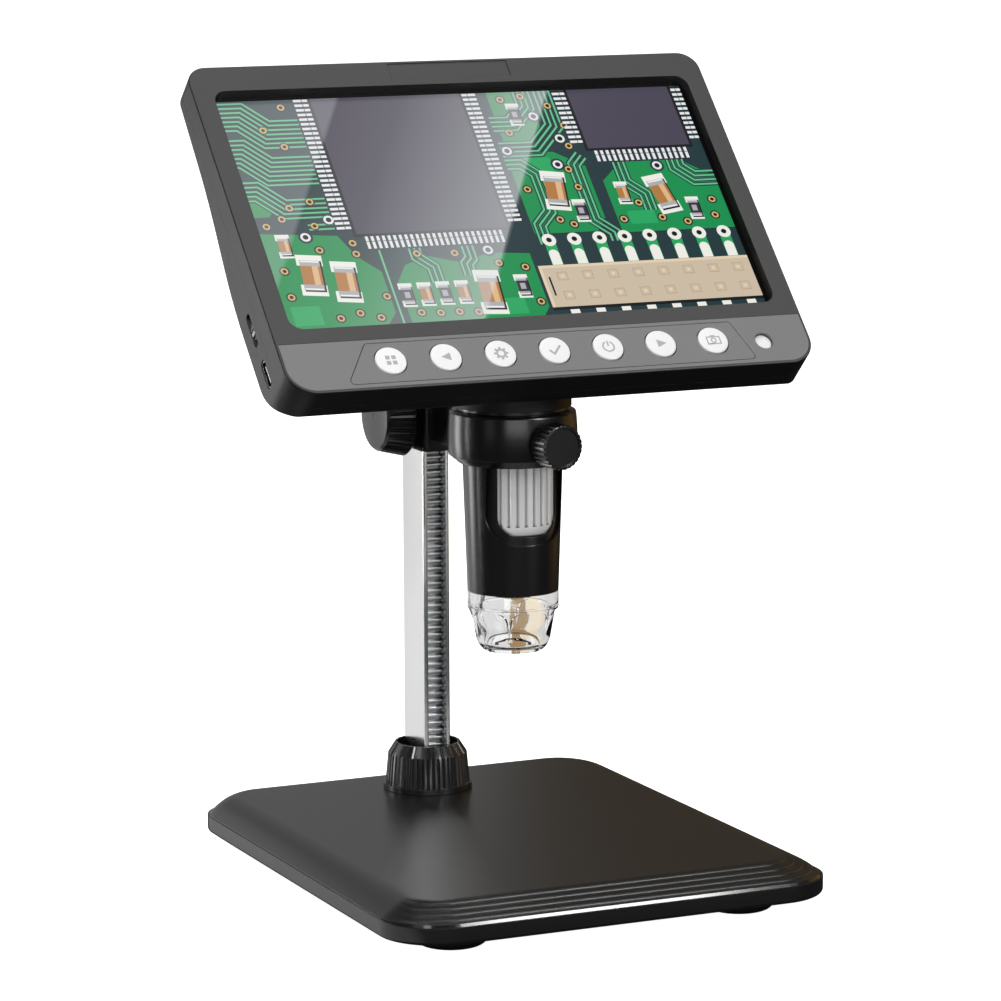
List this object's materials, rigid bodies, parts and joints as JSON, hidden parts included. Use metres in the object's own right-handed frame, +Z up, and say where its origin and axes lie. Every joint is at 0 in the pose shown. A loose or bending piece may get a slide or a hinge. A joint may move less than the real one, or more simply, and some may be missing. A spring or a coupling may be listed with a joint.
{
  "type": "digital microscope",
  "caption": "Desk microscope with a tilted screen housing on a short camera barrel, held by a rack and pinion carriage that slides on a square column over a weighted base",
  "frame": {"origin": "centre of the base's outline on the surface that it stands on, under the middle of the stand", "axes": "+Z up, +X to the user's right, +Y away from the user, so the screen and controls face -Y"},
  "size_m": [0.1698, 0.1704, 0.246],
  "materials": {
    "base_plastic": "satin black moulding with a fine texture",
    "foot_rubber": "matt",
    "ballast_steel": "zinc plated sheet",
    "screw_steel": "zinc plated",
    "black_metal": "satin black",
    "column_aluminium": "satin anodised extrusion",
    "rack_steel": "milled",
    "black_plastic": "satin black",
    "liner_plastic": "natural acetal",
    "housing_plastic": "fine moulded texture",
    "strip_plastic": "fine moulded texture, mid grey",
    "white_plastic": "satin white",
    "screen_glass": "display glass with a printed picture of a circuit board",
    "backlight_plastic": "white reflector",
    "circuit_board": "green solder mask",
    "component_black": "moulded packages",
    "led_resin": "phosphor resin",
    "cell_foil": "pouch foil",
    "plated_steel": "nickel plated",
    "focus_plating": "bright plated moulding",
    "lens_black": "matt black",
    "optical_glass": "coated",
    "clear_acrylic": "clear acrylic"
  },
  "bodies": {
    "stand": {"base_tray": "base_plastic", "base_cover": "base_plastic", "ballast_plate": "ballast_steel", "rubber_feet": "foot_rubber", "base_screws": "screw_steel", "column_socket": "black_metal", "socket_screws": "screw_steel", "column_bolt": "screw_steel", "column": "column_aluminium", "column_cap": "black_plastic", "rack": "rack_steel"},
    "collar": {"collar_nut": "black_plastic"},
    "carriage": {"carriage_body": "black_plastic", "slide_liners": "liner_plastic", "sleeve_plate": "black_plastic", "sleeve_screws": "screw_steel"},
    "pinion": {"pinion_shaft": "rack_steel", "height_knob_left": "black_plastic", "height_knob_right": "black_plastic", "knob_screws": "screw_steel", "shaft_washers": "screw_steel"},
    "clamp": {"clamp_knob": "black_plastic", "clamp_screw": "rack_steel"},
    "head": {"rear_shell": "housing_plastic", "front_bezel": "housing_plastic", "control_strip": "strip_plastic", "button_panel": "strip_plastic", "indicator_lens": "white_plastic", "lcd_panel": "screen_glass", "lcd_backlight": "backlight_plastic", "battery_pack": "cell_foil", "main_board": "circuit_board", "button_board": "circuit_board", "tact_switches": "component_black", "usb_port": "plated_steel", "card_socket": "plated_steel", "flex_cable": "circuit_board", "case_screws": "screw_steel", "barrel_shell": "black_plastic", "barrel_screws": "screw_steel", "wheel_spacer": "liner_plastic", "camera_board": "circuit_board", "image_sensor": "component_black", "led_board": "circuit_board", "ring_leds": "led_resin", "clear_tip": "clear_acrylic"},
    "focus_ring": {"focus_wheel": "focus_plating"},
    "lens_carrier": {"lens_cell": "lens_black", "lens_elements": "optical_glass"},
    "dimmer": {"dimmer_wheel": "black_plastic"},
    "key_menu": {"button_menu": "white_plastic"},
    "key_left": {"button_left": "white_plastic"},
    "key_mode": {"button_mode": "white_plastic"},
    "key_ok": {"button_ok": "white_plastic"},
    "key_power": {"button_power": "white_plastic"},
    "key_right": {"button_right": "white_plastic"},
    "key_capture": {"button_capture": "white_plastic"}
  },
  "joints": [
    {"name": "carriage_slide", "type": "slide", "parent": "stand", "child": "carriage", "axis": [0, 0, 1], "range_m": [-0.05, 0.015]},
    {"name": "pinion_turn", "type": "hinge", "parent": "carriage", "child": "pinion", "pos_m": [0, 0.0482, 0.137], "axis": [1, 0, 0], "range_deg": [-130, 430]},
    {"name": "head_swivel", "type": "hinge", "parent": "carriage", "child": "head", "pos_m": [0, -0.0057, 0.137], "axis": [0, 0, 1], "range_deg": [-40, 40]},
    {"name": "clamp_turn", "type": "hinge", "parent": "carriage", "child": "clamp", "pos_m": [0, -0.0057, 0.1365], "axis": [0.1305, -0.9914, 0], "range_deg": [0, 360]},
    {"name": "collar_turn", "type": "hinge", "parent": "stand", "child": "collar", "pos_m": [0, 0.0598, 0.02], "axis": [0, 0, 1], "range_deg": [0, 360]},
    {"name": "focus_turn", "type": "hinge", "parent": "head", "child": "focus_ring", "pos_m": [0, -0.0057, 0.12], "axis": [0, 0, 1], "range_deg": [-75, 75]},
    {"name": "lens_slide", "type": "slide", "parent": "head", "child": "lens_carrier", "axis": [0, 0, 1], "range_m": [-0.004, 0.004]},
    {"name": "dimmer_turn", "type": "hinge", "parent": "head", "child": "dimmer", "pos_m": [-0.0773, -0.01082, 0.17342], "axis": [0, -0.7241, 0.6897], "range_deg": [-135, 135]},
    {"name": "press_menu", "type": "slide", "parent": "head", "child": "key_menu", "axis": [0, 0.7241, -0.6897], "range_m": [0, 0.0005], "stiffness_N_per_m": 400},
    {"name": "press_left", "type": "slide", "parent": "head", "child": "key_left", "axis": [0, 0.7241, -0.6897], "range_m": [0, 0.0005], "stiffness_N_per_m": 400},
    {"name": "press_mode", "type": "slide", "parent": "head", "child": "key_mode", "axis": [0, 0.7241, -0.6897], "range_m": [0, 0.0005], "stiffness_N_per_m": 400},
    {"name": "press_ok", "type": "slide", "parent": "head", "child": "key_ok", "axis": [0, 0.7241, -0.6897], "range_m": [0, 0.0005], "stiffness_N_per_m": 400},
    {"name": "press_power", "type": "slide", "parent": "head", "child": "key_power", "axis": [0, 0.7241, -0.6897], "range_m": [0, 0.0005], "stiffness_N_per_m": 400},
    {"name": "press_right", "type": "slide", "parent": "head", "child": "key_right", "axis": [0, 0.7241, -0.6897], "range_m": [0, 0.0005], "stiffness_N_per_m": 400},
    {"name": "press_capture", "type": "slide", "parent": "head", "child": "key_capture", "axis": [0, 0.7241, -0.6897], "range_m": [0, 0.0005], "stiffness_N_per_m": 400}
  ],
  "couplings": [
    {"joint": "pinion_turn", "follows": "carriage_slide", "rad_per_m": -148.15},
    {"joint": "lens_slide", "follows": "focus_turn", "m_per_rad": 0.00305}
  ]
}
